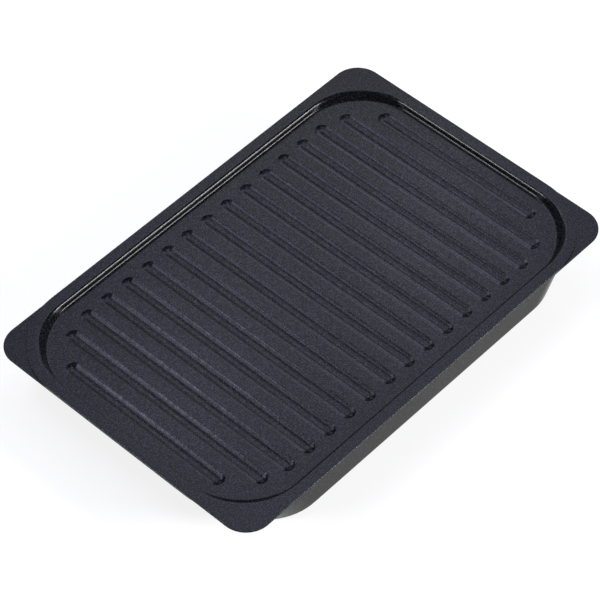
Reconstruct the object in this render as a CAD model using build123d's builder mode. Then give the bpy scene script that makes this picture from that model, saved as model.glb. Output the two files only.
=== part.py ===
from build123d import *
import os
from math import asin, cos, degrees, radians, sin

# A two-piece grill pan for a stovetop's grill drawer, pressed from sheet steel: a deep lower pan,
# and a shallow ribbed plate whose flange lies on the pan's flange. Millimetres.
# The long side runs along X, Z is up, and the origin is the centre of the footprint.

# The closed set
set_length = 290.0
set_width = 190.5
set_height = 30.5
sheet = 0.8

# Outline of both flanges: two opposite corners reach out as finger ears, the other two are round.
ear_radius = 15.5
round_radius = 45.0

# Recess of the ribbed plate
plate_flange_width = 7.75
recess_depth = 4.3
recess_draft = 0.3
recess_mouth_radius = 36.0
recess_floor_radius = 42.5
plate_floor_bend = 0.7

# Pressed beads across the plate's floor
bead_count = 17
bead_width = 9.0
bead_depth = 1.0
end_bead_inset = 12.8
bead_end_gap = 9.1
next_bead_setback = 4.6
end_bead_setback = 20.6

# Lower pan
mouth_gap = 1.0
skirt_depth = 6.0
end_taper = 18.0
side_taper = 0.6
floor_radius = 33.0
pan_floor_bend = 3.2

# Bend where each flange turns down into its wall, and how many flat facets stand for any bend
flange_bend = 0.4
bend_facets = 2

# Heights that follow from them
plate_flange_base = set_height - sheet
pan_flange_base = plate_flange_base - sheet
recess_floor = set_height - recess_depth
skirt_base = pan_flange_base - skirt_depth

# Length, width and corner radius of each hollow at its mouth, and of its floor
recess_length = set_length - 2 * plate_flange_width
recess_width = set_width - 2 * plate_flange_width
recess_mouth = (recess_length, recess_width, recess_mouth_radius)
recess_foot = (
    recess_length - 2 * recess_draft,
    recess_width - 2 * recess_draft,
    recess_floor_radius,
)

mouth_growth = sheet + mouth_gap
pan_length = recess_length + 2 * mouth_growth
pan_width = recess_width + 2 * mouth_growth
pan_mouth = (pan_length, pan_width, recess_mouth_radius + mouth_growth)
pan_foot = (pan_length - 2 * end_taper, pan_width - 2 * side_taper, floor_radius)

# Each bead is the lower part of a capsule that lies along Y above the recess floor. A disc of the
# bead's radius cuts the floor over the bead's width.
bead_radius = (bead_width**2 / 4 + bead_depth**2) / (2 * bead_depth)
bead_axis_height = recess_floor - bead_depth + bead_radius
bead_angle = degrees(asin(bead_width / 2 / bead_radius))
bead_cut_angle = bead_angle + 2
bead_row = recess_length / 2 - end_bead_inset
bead_pitch = 2 * bead_row / (bead_count - 1)


def bead_places():
    """X of each bead and half the length of its axis, which stops short of the round corners."""
    longest = recess_width / 2 - bead_end_gap - bead_width / 2
    setbacks = {0: end_bead_setback, 1: next_bead_setback}
    for number in range(bead_count):
        steps_from_end = min(number, bead_count - 1 - number)
        yield number * bead_pitch - bead_row, longest - setbacks.get(steps_from_end, 0)


def sweep_bead(bead_x, half_axis, inner_radius, outer_radius, half_angle, mode):
    """Sweep a bead's long section, between two radii, through an arc about the bead's axis."""
    side = Plane((bead_x, 0, bead_axis_height), x_dir=(0, 1, 0), z_dir=(1, 0, 0))
    with BuildSketch(side.rotated((0, -half_angle, 0)), mode=Mode.PRIVATE) as section:
        with BuildLine():
            ends = []
            for radius in (inner_radius, outer_radius):
                near = CenterArc((-half_axis, 0), radius, -90, -half_angle)
                far = CenterArc((half_axis, 0), radius, -90, half_angle)
                Line(near @ 0, far @ 0)
                ends.append((near @ 1, far @ 1))
            for inner_point, outer_point in zip(*ends):
                Line(inner_point, outer_point)
        make_face()
    axis = Axis((bead_x, 0, bead_axis_height), (0, 1, 0))
    revolve(section.sketch, axis=axis, revolution_arc=2 * half_angle, mode=mode)


# Outline of the plate's flange, with its ears at the (+X, +Y) and (-X, -Y) corners
with BuildSketch() as flange_outline:
    Rectangle(set_length, set_width)
    fillet([v for v in flange_outline.vertices() if v.X * v.Y > 0], ear_radius)
    corners = flange_outline.vertices().group_by(lambda v: round(abs(v.X) + abs(v.Y), 3))[-1]
    fillet(corners, round_radius)


def rounded(height, size, growth):
    """A rounded rectangle at a height: its length, width and corner radius, grown all round."""
    length, width, radius = size
    with BuildSketch(Plane.XY.offset(height)) as outline:
        RectangleRounded(length + 2 * growth, width + 2 * growth, radius + growth)
    return outline.sketch


def bend_corners(radius):
    """Corners of the facets that touch a quarter bend, in order from the wall to the level sheet.

    Each is its distance from the wall's face and its distance from the level sheet's face.
    """
    half_turn = 90 / (bend_facets + 1) / 2
    corner_distance = radius / cos(radians(half_turn))
    for number in range(bend_facets + 1):
        turn = radians((2 * number + 1) * half_turn)
        yield radius - corner_distance * cos(turn), radius - corner_distance * sin(turn)


def fill_hollow(flange_top, taper_top, floor_top, mouth, foot, floor_bend, wall):
    """Fill the hollow of a pressed piece, grown by a wall all round and below.

    It is upright from its mouth down to the taper's top, and tapers from there to its foot.
    """
    top = flange_top - wall
    floor = floor_top - wall
    sections = []
    for outward, down in reversed(list(bend_corners(flange_bend + sheet - wall))):
        sections.append(rounded(top - down, mouth, wall + outward))
    if taper_top < top:
        sections.append(rounded(taper_top, mouth, wall))
    for inward, up in bend_corners(floor_bend + wall):
        share = 1 - up / (taper_top - floor)
        size = [above + (below - above) * share for above, below in zip(mouth, foot)]
        sections.append(rounded(floor + up, size, wall - inward))
    loft(sections, ruled=True)


def fill_recess(wall):
    """Fill the ribbed plate's recess, grown by a wall."""
    heights = (set_height, set_height, recess_floor)
    fill_hollow(*heights, recess_mouth, recess_foot, plate_floor_bend, wall)


def fill_pan(wall):
    """Fill the lower pan's hollow, grown by a wall."""
    heights = (plate_flange_base, skirt_base, sheet)
    fill_hollow(*heights, pan_mouth, pan_foot, pan_floor_bend, wall)


# Ribbed plate: a solid body with the beads' undersides, then the hollow of the recess and beads
with BuildPart() as recess:
    fill_recess(0)

with BuildPart() as ribbed_plate:
    fill_recess(sheet)
    for bead_x, half_axis in bead_places():
        sweep_bead(bead_x, half_axis, bead_radius, bead_radius + sheet, bead_angle, Mode.ADD)
    with BuildSketch(Plane.XY.offset(plate_flange_base)):
        add(flange_outline.sketch)
    extrude(amount=sheet)
    add(recess.part, mode=Mode.SUBTRACT)
    for bead_x, half_axis in bead_places():
        sweep_bead(
            bead_x, half_axis, bead_radius - 2 * bead_depth, bead_radius, bead_cut_angle, Mode.SUBTRACT
        )
ribbed_plate.part.label = "ribbed_plate"

# Lower pan: walls and floor round its hollow, and a flange with its ears under the round corners
with BuildPart() as pan_hollow:
    fill_pan(0)

with BuildPart() as grill_pan:
    fill_pan(sheet)
    with BuildSketch(Plane.XY.offset(pan_flange_base)):
        mirror(flange_outline.sketch, about=Plane.YZ)
    extrude(amount=sheet)
    add(pan_hollow.part, mode=Mode.SUBTRACT)
grill_pan.part.label = "grill_pan"

os.makedirs("parts", exist_ok=True)
export_step(ribbed_plate.part, "parts/ribbed_plate.step")
export_step(grill_pan.part, "parts/grill_pan.step")
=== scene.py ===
# %% [markdown]
# # A two-piece grill pan for a stovetop's grill drawer
# The object is two pressed steel sheets under one dark non-stick coat: a deep lower pan, and a
# shallow ribbed plate that lies on the pan's flange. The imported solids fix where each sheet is.
# Here both are built again as smooth surfaces, because what the eye reads on this object is the way
# light rolls over its bends and beads.

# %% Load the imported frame
from math import asin, cos, degrees, pi, radians, sin, tan

import bmesh
import bpy
from mathutils import Matrix, Vector


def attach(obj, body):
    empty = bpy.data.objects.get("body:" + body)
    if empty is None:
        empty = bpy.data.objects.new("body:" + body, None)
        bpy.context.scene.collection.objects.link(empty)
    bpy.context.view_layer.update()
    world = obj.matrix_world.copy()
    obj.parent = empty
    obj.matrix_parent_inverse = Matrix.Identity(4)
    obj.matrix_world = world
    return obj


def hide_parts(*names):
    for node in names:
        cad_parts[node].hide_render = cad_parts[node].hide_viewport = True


MM = 0.001
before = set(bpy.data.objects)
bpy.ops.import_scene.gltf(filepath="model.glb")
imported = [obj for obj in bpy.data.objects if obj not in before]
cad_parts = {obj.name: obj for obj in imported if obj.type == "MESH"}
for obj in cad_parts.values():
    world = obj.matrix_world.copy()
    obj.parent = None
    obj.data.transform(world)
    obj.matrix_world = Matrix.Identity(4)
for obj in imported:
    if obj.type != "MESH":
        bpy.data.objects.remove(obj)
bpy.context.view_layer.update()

# %% [markdown]
# ## Camera
# The photograph looks down on a corner of the pan from far away with a long lens. The lens, the
# place and the turns were worked out from the pan's corners and edges. The camera comes first, so
# that each piece can be looked at as soon as it exists.

# %% Camera at the photograph's viewing angle
SET_HEIGHT = 30.5
CAMERA_PITCH_DOWN = 50.172
CAMERA_YAW = -45.948
CAMERA_ROLL = -1.182
CAMERA_OFFSET = Vector((3.011, 8.702, -1555.2))
LENS_PX = 2854.0
IMAGE_PX = 600
SENSOR_MM = 36.0
NEAREST_M = 0.05

camera_turn = (
    Matrix.Rotation(radians(CAMERA_YAW), 3, "Z")
    @ Matrix.Rotation(pi / 2 - radians(CAMERA_PITCH_DOWN), 3, "X")
    @ Matrix.Rotation(radians(CAMERA_ROLL), 3, "Z")
)
camera_place = (camera_turn @ -CAMERA_OFFSET + Vector((0, 0, SET_HEIGHT))) * MM
camera_data = bpy.data.cameras.new("camera")
camera_data.sensor_width = SENSOR_MM
camera_data.lens = LENS_PX * SENSOR_MM / IMAGE_PX
camera_data.clip_start = NEAREST_M
camera = bpy.data.objects.new("camera", camera_data)
camera.matrix_world = Matrix.Translation(camera_place) @ camera_turn.to_4x4()
bpy.context.collection.objects.link(camera)
bpy.context.scene.camera = camera
print("Camera lens", round(camera_data.lens, 1), "mm at", tuple(round(v, 3) for v in camera_place))

# %% [markdown]
# ## Sizes
# These repeat the sizes of the solids, in millimetres, so that each sheet lies exactly where its
# solid does. What only one of the two sheets has is written where that sheet is made.

# %% Sizes that both sheets share
SHEET = 0.8
SET_LENGTH, SET_WIDTH = 290.0, 190.5
EAR_RADIUS, ROUND_RADIUS = 15.5, 45.0
PLATE_FLANGE_WIDTH = 7.75
RECESS_LENGTH = SET_LENGTH - 2 * PLATE_FLANGE_WIDTH
RECESS_WIDTH = SET_WIDTH - 2 * PLATE_FLANGE_WIDTH
MOUTH_RADIUS = 36.0
RIM_BEND = 1.7
FLAT_COLLAR = 2.0
print("Recess", RECESS_LENGTH, "by", RECESS_WIDTH, "mm")

# %% [markdown]
# ## One outline, many sheets
# Every level of a pressed pan is a rectangle with rounded corners, so one helper draws that outline
# at any height: it spins one vertex through a quarter turn at each corner and joins the arcs. Two
# levels that are bridged make a wall or a flat ring, so a whole sheet is a short list of levels. A
# subdivided box could be pushed into the same shape, but its corners would only come near their
# radii, and here the light on the corners shows every error.

# %% Outline of one level
CORNER_STEPS = 24
CORNER_SIGNS = ((1, 1), (-1, 1), (-1, -1), (1, -1))


def draw_level(bm, length, width, height, radii, growth=0.0):
    """Edges of a rounded rectangle grown all round, its corner radii in CORNER_SIGNS' order."""
    edges, ends = [], []
    for number, ((sign_x, sign_y), radius) in enumerate(zip(CORNER_SIGNS, radii)):
        centre = Vector((sign_x * (length / 2 - radius), sign_y * (width / 2 - radius), height))
        first = Matrix.Rotation(number * pi / 2, 3, "Z") @ Vector((radius + growth, 0, 0))
        start = bm.verts.new(centre + first)
        arc = bmesh.ops.spin(
            bm, geom=[start], cent=centre, axis=(0, 0, 1), angle=pi / 2, steps=CORNER_STEPS
        )
        last = arc["geom_last"][0]
        ends.append((start, last))
        vert = start
        while vert is not last:
            edge = next(e for e in vert.link_edges if e not in edges)
            edges.append(edge)
            vert = edge.other_vert(vert)
    for number in range(4):
        edges.append(bm.edges.new((ends[number][1], ends[(number + 1) % 4][0])))
    return edges


# %% [markdown]
# ## Folds that are bent, not sharp
# A press can't fold steel sharply: every fold is a bend with a radius, and the bright lines on a pan
# are those bends. A subdivision surface would round the folds too, but it would also pull the flat
# faces beside them out of true. So a bevel runs along each fold. Its width is worked out from the
# radius and from how far the sheet turns, so that each bend is named by its real radius.

# %% Walls and bends
def join_levels(bm, upper, lower):
    bmesh.ops.bridge_loops(bm, edges=upper + lower)


def bend(bm, edges, radius, turn_degrees, steps=6):
    """Round a sharp fold between two faces as a bent sheet of this radius."""
    bmesh.ops.bevel(
        bm,
        geom=[e for e in edges if e.is_valid],
        affect="EDGES",
        offset=radius * tan(radians(turn_degrees / 2)),
        offset_type="OFFSET",
        segments=steps,
        profile=0.5,
        material=-1,
        clamp_overlap=True,
    )


# %% [markdown]
# ## From a surface to a sheet of steel
# Each sheet is modelled as one open surface, the side that food lies on, and gets its thickness last,
# downwards, from a Solidify modifier. That keeps the thickness even through every bead and bend. A
# small bevel takes the sharpness off the trimmed edges, as deburring does, and weighted normals keep
# the flat faces flat beside the bends.

# %% Finished sheet
WELD_GAP = 0.001
DEBURRED_EDGE = 0.2
DEBURRED_STEPS = 3
SHARPER_THAN = 60
FLAT_FACE_WEIGHT = 80


def face_up(bm):
    """Make every face of an open sheet point up and inwards, to the side that food lies on."""
    bmesh.ops.recalc_face_normals(bm, faces=bm.faces)
    if sum(f.normal.z * f.calc_area() for f in bm.faces) < 0:
        bmesh.ops.reverse_faces(bm, faces=bm.faces)


def finish_sheet(bm, name, body, node):
    """Turn a bmesh in millimetres into a finished sheet of steel that stands for a solid."""
    bmesh.ops.remove_doubles(bm, verts=bm.verts, dist=WELD_GAP)
    face_up(bm)
    bmesh.ops.scale(bm, vec=(MM, MM, MM), verts=bm.verts)
    for face in bm.faces:
        face.smooth = True
    mesh = bpy.data.meshes.new(name)
    bm.to_mesh(mesh)
    bm.free()
    piece = bpy.data.objects.new(name, mesh)
    bpy.context.collection.objects.link(piece)
    wall = piece.modifiers.new("sheet", "SOLIDIFY")
    wall.thickness = SHEET * MM
    wall.offset = -1
    wall.use_even_offset = True
    edge = piece.modifiers.new("trimmed edge", "BEVEL")
    edge.width = DEBURRED_EDGE * MM
    edge.segments = DEBURRED_STEPS
    edge.limit_method = "ANGLE"
    edge.angle_limit = radians(SHARPER_THAN)
    normals = piece.modifiers.new("flat faces stay flat", "WEIGHTED_NORMAL")
    normals.keep_sharp = True
    normals.weight = FLAT_FACE_WEIGHT
    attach(piece, body)
    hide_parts(node)
    return piece


# %% [markdown]
# ## Pressed bead
# The plate's floor carries seventeen beads, pressed down so that fat runs off the food. Each is a
# long dish with round ends. Its cross-section is an arc, made by spinning one vertex about the bead's
# own axis. A half turn of that arc about the vertical makes one dished end, an extrusion makes the
# straight part, and a mirror makes the other half. A flat collar round it meets the floor, so that
# the crease between floor and bead can be bent while both its sides are there.

# %% One end of a bead
PLATE_TOP = SET_HEIGHT
RECESS_DEPTH = 4.3
RECESS_FLOOR = PLATE_TOP - RECESS_DEPTH
BEAD_WIDTH, BEAD_DEPTH = 9.0, 1.0
BEAD_RADIUS = (BEAD_WIDTH**2 / 4 + BEAD_DEPTH**2) / (2 * BEAD_DEPTH)
BEAD_ANGLE = asin(BEAD_WIDTH / 2 / BEAD_RADIUS)
BEAD_COLLAR = 1.0
BEAD_ARC_STEPS = 7
BEAD_END_STEPS = 20
BEAD_WELD_GAP = 0.0005


def spin_bead_end(one, half_axis):
    """Make the dished end of a bead that points along +Y, with its flat collar."""
    bottom = one.verts.new((0, half_axis, RECESS_FLOOR - BEAD_DEPTH))
    centre = Vector((0, half_axis, RECESS_FLOOR - BEAD_DEPTH + BEAD_RADIUS))
    arc = bmesh.ops.spin(
        one, geom=[bottom], cent=centre, axis=(0, -1, 0), angle=BEAD_ANGLE, steps=BEAD_ARC_STEPS
    )
    crease = arc["geom_last"][0]
    outer = bmesh.ops.extrude_vert_indiv(one, verts=[crease])["verts"]
    bmesh.ops.translate(one, vec=(BEAD_COLLAR, 0, 0), verts=outer)
    bmesh.ops.spin(
        one,
        geom=one.verts[:] + one.edges[:],
        cent=(0, half_axis, 0),
        axis=(0, 0, 1),
        angle=pi,
        steps=BEAD_END_STEPS,
    )
    bmesh.ops.remove_doubles(one, verts=one.verts, dist=BEAD_WELD_GAP)


print("Bead radius", round(BEAD_RADIUS, 2), "mm, turning", round(degrees(BEAD_ANGLE), 1), "degrees")

# %% Whole bead
BEAD_CREASE = 0.9
ON_LEVEL = 1e-4
FLAT_ENOUGH = 0.9999


def press_bead(bm, bead_x, half_axis):
    """Add one whole bead with its bent crease and flat collar to the plate."""
    one = bmesh.new()
    spin_bead_end(one, half_axis)
    open_edges = [
        e
        for e in one.edges
        if e.is_boundary and all(abs(v.co.y - half_axis) < ON_LEVEL for v in e.verts)
    ]
    straight = bmesh.ops.extrude_edge_only(one, edges=open_edges)["geom"]
    moved = [g for g in straight if isinstance(g, bmesh.types.BMVert)]
    bmesh.ops.translate(one, vec=(0, -half_axis, 0), verts=moved)
    half = one.verts[:] + one.edges[:] + one.faces[:]
    bmesh.ops.mirror(one, geom=half, axis="Y", merge_dist=BEAD_WELD_GAP)
    bmesh.ops.remove_doubles(one, verts=one.verts, dist=BEAD_WELD_GAP)
    face_up(one)
    creases = [
        e
        for e in one.edges
        if all(abs(v.co.z - RECESS_FLOOR) < ON_LEVEL for v in e.verts)
        and not e.is_boundary
        and min(f.normal.z**2 for f in e.link_faces) < FLAT_ENOUGH
    ]
    bend(one, creases, BEAD_CREASE, degrees(BEAD_ANGLE))
    bmesh.ops.translate(one, vec=(bead_x, 0, 0), verts=one.verts)
    mesh = bpy.data.meshes.new("bead")
    one.to_mesh(mesh)
    one.free()
    bm.from_mesh(mesh)
    bpy.data.meshes.remove(mesh)


# %% [markdown]
# ## Ribbed plate
# The plate is the shallow upper sheet: a flat flange with two finger ears, a recess, and the beads in
# its floor. The beads could be cut into a finished floor with booleans, but those leave long thin
# faces that catch the light wrongly. So the beads are laid out first, the levels of the sheet are
# bridged round them, and the flat floor between them is filled last.

# %% Ribbed plate
RECESS_DRAFT = 0.3
RECESS_FLOOR_RADIUS = 42.5
RECESS_FLOOR_BEND = 0.9
RECESS_WALL_TURN = 86
BEAD_COUNT = 17
END_BEAD_INSET = 12.8
BEAD_END_GAP = 9.1
END_SETBACKS = {0: 20.6, 1: 4.6}


def lay_out_beads(bm):
    """Press the row of beads; the two at each end are shorter, to clear the round corners."""
    longest = RECESS_WIDTH / 2 - BEAD_END_GAP - BEAD_WIDTH / 2
    row = RECESS_LENGTH / 2 - END_BEAD_INSET
    for number in range(BEAD_COUNT):
        setback = END_SETBACKS.get(min(number, BEAD_COUNT - 1 - number), 0)
        press_bead(bm, -row + number * 2 * row / (BEAD_COUNT - 1), longest - setback)


def press_plate():
    bm = bmesh.new()
    lay_out_beads(bm)
    bead_edges = [e for e in bm.edges if e.is_boundary]
    ears = (EAR_RADIUS, ROUND_RADIUS, EAR_RADIUS, ROUND_RADIUS)
    outline = draw_level(bm, SET_LENGTH, SET_WIDTH, PLATE_TOP, ears)
    mouth_level = (RECESS_LENGTH, RECESS_WIDTH, PLATE_TOP, [MOUTH_RADIUS] * 4)
    rim_collar = draw_level(bm, *mouth_level, growth=FLAT_COLLAR)
    mouth = draw_level(bm, *mouth_level)
    floor_length = RECESS_LENGTH - 2 * RECESS_DRAFT
    floor_width = RECESS_WIDTH - 2 * RECESS_DRAFT
    floor_level = (floor_length, floor_width, RECESS_FLOOR, [RECESS_FLOOR_RADIUS] * 4)
    floor = draw_level(bm, *floor_level)
    floor_collar = draw_level(bm, *floor_level, growth=-FLAT_COLLAR)
    join_levels(bm, outline, rim_collar)
    join_levels(bm, rim_collar, mouth)
    join_levels(bm, mouth, floor)
    join_levels(bm, floor, floor_collar)
    bmesh.ops.triangle_fill(bm, use_beauty=True, edges=bead_edges + floor_collar, normal=(0, 0, 1))
    bend(bm, mouth, RIM_BEND, RECESS_WALL_TURN)
    bend(bm, floor, RECESS_FLOOR_BEND, RECESS_WALL_TURN)
    return finish_sheet(bm, "ribbed_plate_sheet", "ribbed_plate", "ribbed_plate")


plate = press_plate()
print("Ribbed plate faces", len(plate.data.polygons))

# %% [markdown]
# ## Lower pan
# The pan is the same kind of stack of levels, only deeper: a flange whose ears lie under the plate's
# round corners, a short upright skirt, and walls that taper to a flat floor. The ends lean far more
# than the sides, so the levels change their proportions on the way down. A press leaves a wide,
# soft bend round the floor, because steel drawn over a sharp one would tear. The floor is one flat
# face, made before its bend, so that the bend can take its width from it.

# %% Lower pan
# The turns are those of the steep side walls and, under the skirt, a middle value for sides and
# ends, because one fold has one bevel all round.
MOUTH_GAP = 1.0
MOUTH_TURN = 90
SKIRT_DEPTH = 6.0
SKIRT_BEND, SKIRT_TURN = 12, 20
END_TAPER, SIDE_TAPER = 18.0, 0.6
PAN_FLOOR_RADIUS = 33.0
PAN_FLOOR_BEND, PAN_WALL_TURN = 3.2, 88
PAN_TOP = PLATE_TOP - SHEET
SKIRT_BASE = PAN_TOP - SHEET - SKIRT_DEPTH


def press_pan():
    bm = bmesh.new()
    ears = (ROUND_RADIUS, EAR_RADIUS, ROUND_RADIUS, EAR_RADIUS)
    mouth_length = RECESS_LENGTH + 2 * (SHEET + MOUTH_GAP)
    mouth_width = RECESS_WIDTH + 2 * (SHEET + MOUTH_GAP)
    mouth_radii = [MOUTH_RADIUS + SHEET + MOUTH_GAP] * 4
    floor_length = mouth_length - 2 * END_TAPER
    floor_width = mouth_width - 2 * SIDE_TAPER
    outline = draw_level(bm, SET_LENGTH, SET_WIDTH, PAN_TOP, ears)
    rim_collar = draw_level(bm, mouth_length, mouth_width, PAN_TOP, mouth_radii, FLAT_COLLAR)
    mouth = draw_level(bm, mouth_length, mouth_width, PAN_TOP, mouth_radii)
    skirt = draw_level(bm, mouth_length, mouth_width, SKIRT_BASE, mouth_radii)
    floor = draw_level(bm, floor_length, floor_width, SHEET, [PAN_FLOOR_RADIUS] * 4)
    join_levels(bm, outline, rim_collar)
    join_levels(bm, rim_collar, mouth)
    join_levels(bm, mouth, skirt)
    join_levels(bm, skirt, floor)
    bmesh.ops.contextual_create(bm, geom=floor)
    bend(bm, mouth, RIM_BEND, MOUTH_TURN)
    bend(bm, floor, PAN_FLOOR_BEND, PAN_WALL_TURN, steps=8)
    bend(bm, skirt, SKIRT_BEND, SKIRT_TURN, steps=4)
    return finish_sheet(bm, "grill_pan_sheet", "grill_pan", "grill_pan")


pan = press_pan()
print("Lower pan faces", len(pan.data.polygons))

# %% [markdown]
# ## Non-stick coat
# Both sheets carry one finish: a fluoro-resin coat, sprayed on and baked. It looks blue-grey, with a
# fine speckle and a low sheen like an eggshell's. Here its own colour is nearly black, and most of
# the blue-grey is light that it mirrors. Four things tell what it is, and each gets its own few
# nodes: the speckle in its colour; the cloudiness that an uneven spray leaves; a lighter tone beside
# trimmed edges, partly the thin coat there, where the film draws back and wears first, and partly a
# painted highlight along those edges; and the pebbled skin of the baked film.
# A painted picture could hold all this, but nodes keep their grain sharp however near one looks.

# %% Helpers for colours and nodes
def srgb(code):
    """Linear colour of an sRGB hex code."""
    channels = [int(code[start : start + 2], 16) / 255 for start in (1, 3, 5)]
    linear = [c / 12.92 if c <= 0.04045 else ((c + 0.055) / 1.055) ** 2.4 for c in channels]
    return (*linear, 1.0)


def per_metre(size_mm):
    """Noise scale whose features are this many millimetres wide in object coordinates."""
    return 1000 / size_mm


def add_node(tree, kind, inputs, **settings):
    """Add a node; an input takes a value, or another node's output to be linked."""
    node = tree.nodes.new(kind)
    for name, value in settings.items():
        setattr(node, name, value)
    for name, value in inputs.items():
        if isinstance(value, bpy.types.NodeSocket):
            tree.links.new(value, node.inputs[name])
        else:
            node.inputs[name].default_value = value
    return node


# %% Speckle
# The real speckle is about 0.2 mm; it is drawn at 0.8 mm, over a pixel here, or it wouldn't show.
SPECKLE_MM = 0.8


def sprinkle_specks(tree, where):
    """Fine noise, and the specks that stand out of it."""
    speckle = add_node(
        tree,
        "ShaderNodeTexNoise",
        {"Vector": where, "Scale": per_metre(SPECKLE_MM), "Detail": 1.0, "Roughness": 0.6},
    ).outputs["Fac"]
    specks = add_node(
        tree,
        "ShaderNodeMapRange",
        {"Value": speckle, "From Min": 0.46, "From Max": 0.7, "To Min": 0.0, "To Max": 1.0},
    ).outputs["Result"]
    return speckle, specks


# %% Cloudy colour
CLOUD_MM = 45.0


def tone_coat(tree, where, specks, dark, light):
    """The specks mix two tones, and a slow cloud dims or lifts both a little."""
    cloud = add_node(
        tree,
        "ShaderNodeTexNoise",
        {"Vector": where, "Scale": per_metre(CLOUD_MM), "Detail": 3.0, "Roughness": 0.5},
    ).outputs["Fac"]
    toned = add_node(
        tree, "ShaderNodeMixRGB", {"Fac": specks, "Color1": srgb(dark), "Color2": srgb(light)}
    ).outputs["Color"]
    lift = add_node(
        tree,
        "ShaderNodeMapRange",
        {"Value": cloud, "From Min": 0.3, "From Max": 0.7, "To Min": 0.88, "To Max": 1.12},
    ).outputs["Result"]
    return add_node(
        tree, "ShaderNodeVectorMath", {0: toned, 1: lift}, operation="MULTIPLY"
    ).outputs["Vector"]


# %% Worn edges with a painted edge highlight
EDGE_WEAR_AND_HIGHLIGHT_MM = 0.5


def wear_and_highlight_edges(tree, colour, specks, worn_and_highlight_tone):
    """A rounded normal differs from the true one only beside an edge, where a coat wears.

    The lighter tone laid there is partly that wear and partly a painted highlight.
    """
    true_normal = add_node(tree, "ShaderNodeNewGeometry", {}).outputs["Normal"]
    rounded = add_node(tree, "ShaderNodeBevel", {"Radius": EDGE_WEAR_AND_HIGHLIGHT_MM * MM}, samples=4)
    alike = add_node(
        tree,
        "ShaderNodeVectorMath",
        {0: true_normal, 1: rounded.outputs["Normal"]},
        operation="DOT_PRODUCT",
    ).outputs["Value"]
    edge = add_node(
        tree,
        "ShaderNodeMapRange",
        {"Value": alike, "From Min": 0.97, "From Max": 0.75, "To Min": 0.0, "To Max": 0.6},
    ).outputs["Result"]
    wear_and_highlight = add_node(
        tree, "ShaderNodeMath", {0: edge, 1: specks}, operation="MULTIPLY"
    ).outputs["Value"]
    # The light worn tone mixed in here is partly wear and partly a painted highlight on the edges.
    return add_node(
        tree, "ShaderNodeMixRGB", {"Fac": wear_and_highlight, "Color1": colour, "Color2": srgb(worn_and_highlight_tone)}
    ).outputs["Color"]


# %% Pebbled skin
SKIN_MM = 2.2
SKIN_RELIEF_MM = 0.02
GRAIN_RELIEF_MM = 0.015
SHEEN_SPREAD = 0.05


def pebble_skin(tree, shader, where, speckle, specks, sheen):
    """Pits in the skin scatter more light than its smooth pebbles do, and specks mirror more."""
    skin = add_node(
        tree,
        "ShaderNodeTexNoise",
        {"Vector": where, "Scale": per_metre(SKIN_MM), "Detail": 2.0, "Roughness": 0.5},
    ).outputs["Fac"]
    pits, pebbles = sheen + SHEEN_SPREAD, sheen - SHEEN_SPREAD
    roughness = add_node(
        tree,
        "ShaderNodeMapRange",
        {"Value": skin, "From Min": 0.3, "From Max": 0.7, "To Min": pits, "To Max": pebbles},
    ).outputs["Result"]
    tree.links.new(roughness, shader.inputs["Roughness"])
    glint = add_node(
        tree,
        "ShaderNodeMapRange",
        {"Value": specks, "From Min": 0.0, "From Max": 1.0, "To Min": 0.42, "To Max": 0.66},
    ).outputs["Result"]
    tree.links.new(glint, shader.inputs["Specular IOR Level"])
    grain = add_node(
        tree,
        "ShaderNodeBump",
        {"Height": speckle, "Distance": GRAIN_RELIEF_MM * MM, "Strength": 1.0},
    ).outputs["Normal"]
    pebbled = add_node(
        tree,
        "ShaderNodeBump",
        {"Height": skin, "Distance": SKIN_RELIEF_MM * MM, "Strength": 1.0, "Normal": grain},
    ).outputs["Normal"]
    tree.links.new(pebbled, shader.inputs["Normal"])


# %% Coats of the two sheets
# A fluoro-resin's index is low for a coat, about 1.35, which gives the eye its dull sheen. From there
# it is matched a little lower, so that the upright walls mirror the white table only dimly.
COAT_IOR = 1.25


def make_coat(name, dark, light, worn_and_highlight_tone, sheen):
    """A sprayed and baked fluoro-resin coat, from its dark and light specks and its worn tone.

    The worn tone on the edges is partly wear and partly a painted highlight.
    """
    coat = bpy.data.materials.new(name)
    coat.use_nodes = True
    tree = coat.node_tree
    shader = tree.nodes["Principled BSDF"]
    where = add_node(tree, "ShaderNodeTexCoord", {}).outputs["Object"]
    speckle, specks = sprinkle_specks(tree, where)
    clouded = tone_coat(tree, where, specks, dark, light)
    tree.links.new(wear_and_highlight_edges(tree, clouded, specks, worn_and_highlight_tone), shader.inputs["Base Color"])
    pebble_skin(tree, shader, where, speckle, specks, sheen)
    shader.inputs["IOR"].default_value = COAT_IOR
    return coat


# The steel under both is the same, but deep drawing stretches it and roughens it a little, so the
# pan's coat is slightly duller than the plate's.
# The light worn tone on the edges of both coats is partly wear and partly a painted highlight.
plate_coat = make_coat(
    "pressed_steel_with_fluoro_resin_coat",
    dark="#030304",
    light="#1c1c23",
    worn_and_highlight_tone="#6a6a70",
    sheen=0.19,
)
pan_coat = make_coat(
    "deep_drawn_steel_with_fluoro_resin_coat",
    dark="#030304",
    light="#1a1a1f",
    worn_and_highlight_tone="#6a6a70",
    sheen=0.2,
)
plate.data.materials.append(plate_coat)
pan.data.materials.append(pan_coat)
print("Coats", [m.name for m in (plate_coat, pan_coat)])

# %% [markdown]
# ## White table
# The pan was photographed on pure white with next to no shadow, as on a lit table. A white floor
# under strong lamps would do, but strong lamps also grey the dark coat. So the paper is fairly grey,
# and glows by itself up to white. The room round it is dim, and only keeps what no lamp reaches from
# going quite black. The Standard view shows the paper's white as plain white.

# %% White table
TABLE_HALF_WIDTH = 6.0
PAPER_TONE = 0.25
PAPER_ROUGHNESS = 0.9
PAPER_GLOW = 0.76
ROOM_COLOUR = (0.9, 0.92, 1.0, 1.0)
ROOM_GLOW = 0.2

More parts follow.
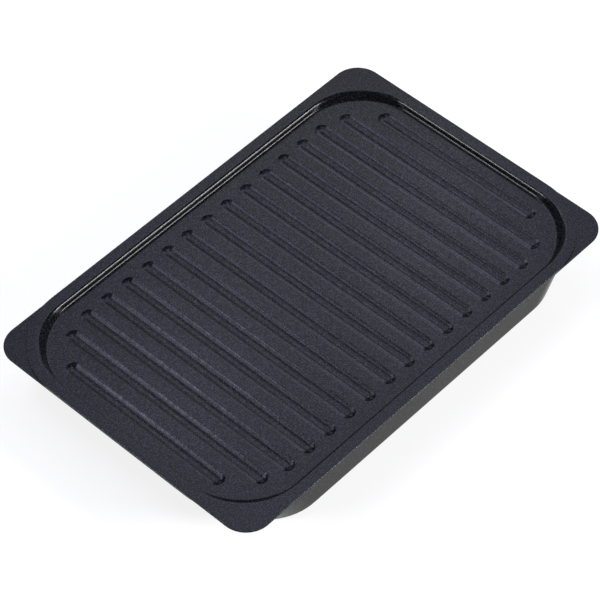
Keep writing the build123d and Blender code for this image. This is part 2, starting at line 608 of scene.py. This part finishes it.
floor_mesh = bpy.data.meshes.new("floor")
bm = bmesh.new()
bmesh.ops.create_grid(bm, x_segments=1, y_segments=1, size=TABLE_HALF_WIDTH)
bm.to_mesh(floor_mesh)
bm.free()
floor = bpy.data.objects.new("floor", floor_mesh)
bpy.context.collection.objects.link(floor)
paper = bpy.data.materials.new("white_paper")
paper.use_nodes = True
paper_shader = paper.node_tree.nodes["Principled BSDF"]
paper_shader.inputs["Base Color"].default_value = (PAPER_TONE, PAPER_TONE, PAPER_TONE, 1)
paper_shader.inputs["Roughness"].default_value = PAPER_ROUGHNESS
paper_shader.inputs["Emission Color"].default_value = (1, 1, 1, 1)
paper_shader.inputs["Emission Strength"].default_value = PAPER_GLOW
floor_mesh.materials.append(paper)
print("Table reaches", round(max(v.co.x for v in floor_mesh.vertices), 2), "m from the pan's middle")

# %% Room
world = bpy.data.worlds.new("studio")
world.use_nodes = True
world.node_tree.nodes["Background"].inputs["Color"].default_value = ROOM_COLOUR
world.node_tree.nodes["Background"].inputs["Strength"].default_value = ROOM_GLOW
bpy.context.scene.world = world
bpy.context.scene.view_settings.view_transform = "Standard"
print("Room glow", ROOM_GLOW)

# %% [markdown]
# ## Soft lights
# A coat this dark shows its lamps more than its own colour: each face shows what stands where it
# mirrors the view. A level face looks at turn 44 and rise 50, and a bead's flank that tilts by a few
# degrees looks at twice as many degrees from there. So each soft lamp hangs at the place that one
# kind of face looks at, and is named for it. A few big boxes all round would be simpler, but they
# light the walls as much as the flats, and the beads go flat. Each lamp below has its distance in
# metres, its turn and rise in degrees, its size in metres, its watts and its colour.

# %% Soft lights
NEUTRAL = (1.0, 1.0, 1.0)
BLUISH = (0.73, 0.74, 1.0)
NEAR, FAR = 1.1, 5.0


def hang_lamp(name, distance, turn_degrees, rise_degrees, size, watts, colour):
    """Hang a round soft light at a turn about the vertical and a rise above the table."""
    data = bpy.data.lights.new(name, "AREA")
    data.shape = "DISK"
    data.size = size
    data.energy = watts
    data.color = colour
    lamp = bpy.data.objects.new(name, data)
    turn, rise = radians(turn_degrees), radians(rise_degrees)
    toward = Vector((cos(turn) * cos(rise), sin(turn) * cos(rise), sin(rise)))
    lamp.location = toward * distance
    lamp.rotation_euler = toward.to_track_quat("Z", "Y").to_euler()
    bpy.context.collection.objects.link(lamp)


# %% Boxes at the sides
# They draw the bright lines on the recess's rim and foot. They hang so low that the recess's walls,
# which mirror the floor in front of them, stay black between those lines.
hang_lamp("right_side_box", FAR, 299, 20, 1.6, 380, NEUTRAL)
hang_lamp("left_side_box", FAR, 152, 22, 1.3, 190, NEUTRAL)

# %% Far lamps behind the pan
# The first three mirror in the level faces, and the others in the flanks and ends of the beads. From
# far away each looks the same from every part of the plate, so the sheen is even.
hang_lamp("flat_sheen", FAR, 44, 50, 1.2, 6.0, BLUISH)
hang_lamp("flat_sheen_left", FAR, 63, 57, 1.2, 4.4, BLUISH)
hang_lamp("flat_sheen_high", FAR, 28, 59, 1.2, 5.2, BLUISH)
hang_lamp("bead_right_flank", FAR, 95, 61, 1.2, 25.0, BLUISH)
hang_lamp("bead_right_flank_low", FAR, 83, 50, 1.2, 22.0, BLUISH)
hang_lamp("bead_left_flank", FAR, 28, 26, 1.2, 7.5, BLUISH)
hang_lamp("bead_left_flank_low", FAR, 27, 12, 1.2, 9.0, BLUISH)
hang_lamp("bead_left_flank_high", FAR, 15, 46, 1.2, 7.0, BLUISH)
hang_lamp("bead_near_end", FAR, 58, 28, 0.8, 5.0, BLUISH)

# %% Small near lamps
# What a near lamp gives changes from one end of the plate to the other. Those named for a line or an
# edge draw the fine lines along the beads, and the sheens each lift one end, corner or ear.
hang_lamp("bead_right_line", NEAR, 123, 58, 0.18, 1.15, BLUISH)
hang_lamp("bead_line_high", NEAR, 43, 70, 0.3, 0.7, BLUISH)
hang_lamp("far_end_sheen", NEAR, 42, 44, 0.3, 0.28, NEUTRAL)
hang_lamp("right_ear_sheen", NEAR, 27, 48, 0.3, 0.42, BLUISH)
hang_lamp("left_ear_sheen", NEAR, 60, 52, 0.3, 0.36, BLUISH)
hang_lamp("near_corner_sheen", NEAR, 45, 58, 0.3, 0.34, BLUISH)
hang_lamp("bead_left_edge", NEAR, 20, 33, 0.3, 0.6, BLUISH)
print("Lamps", len(bpy.data.lights))
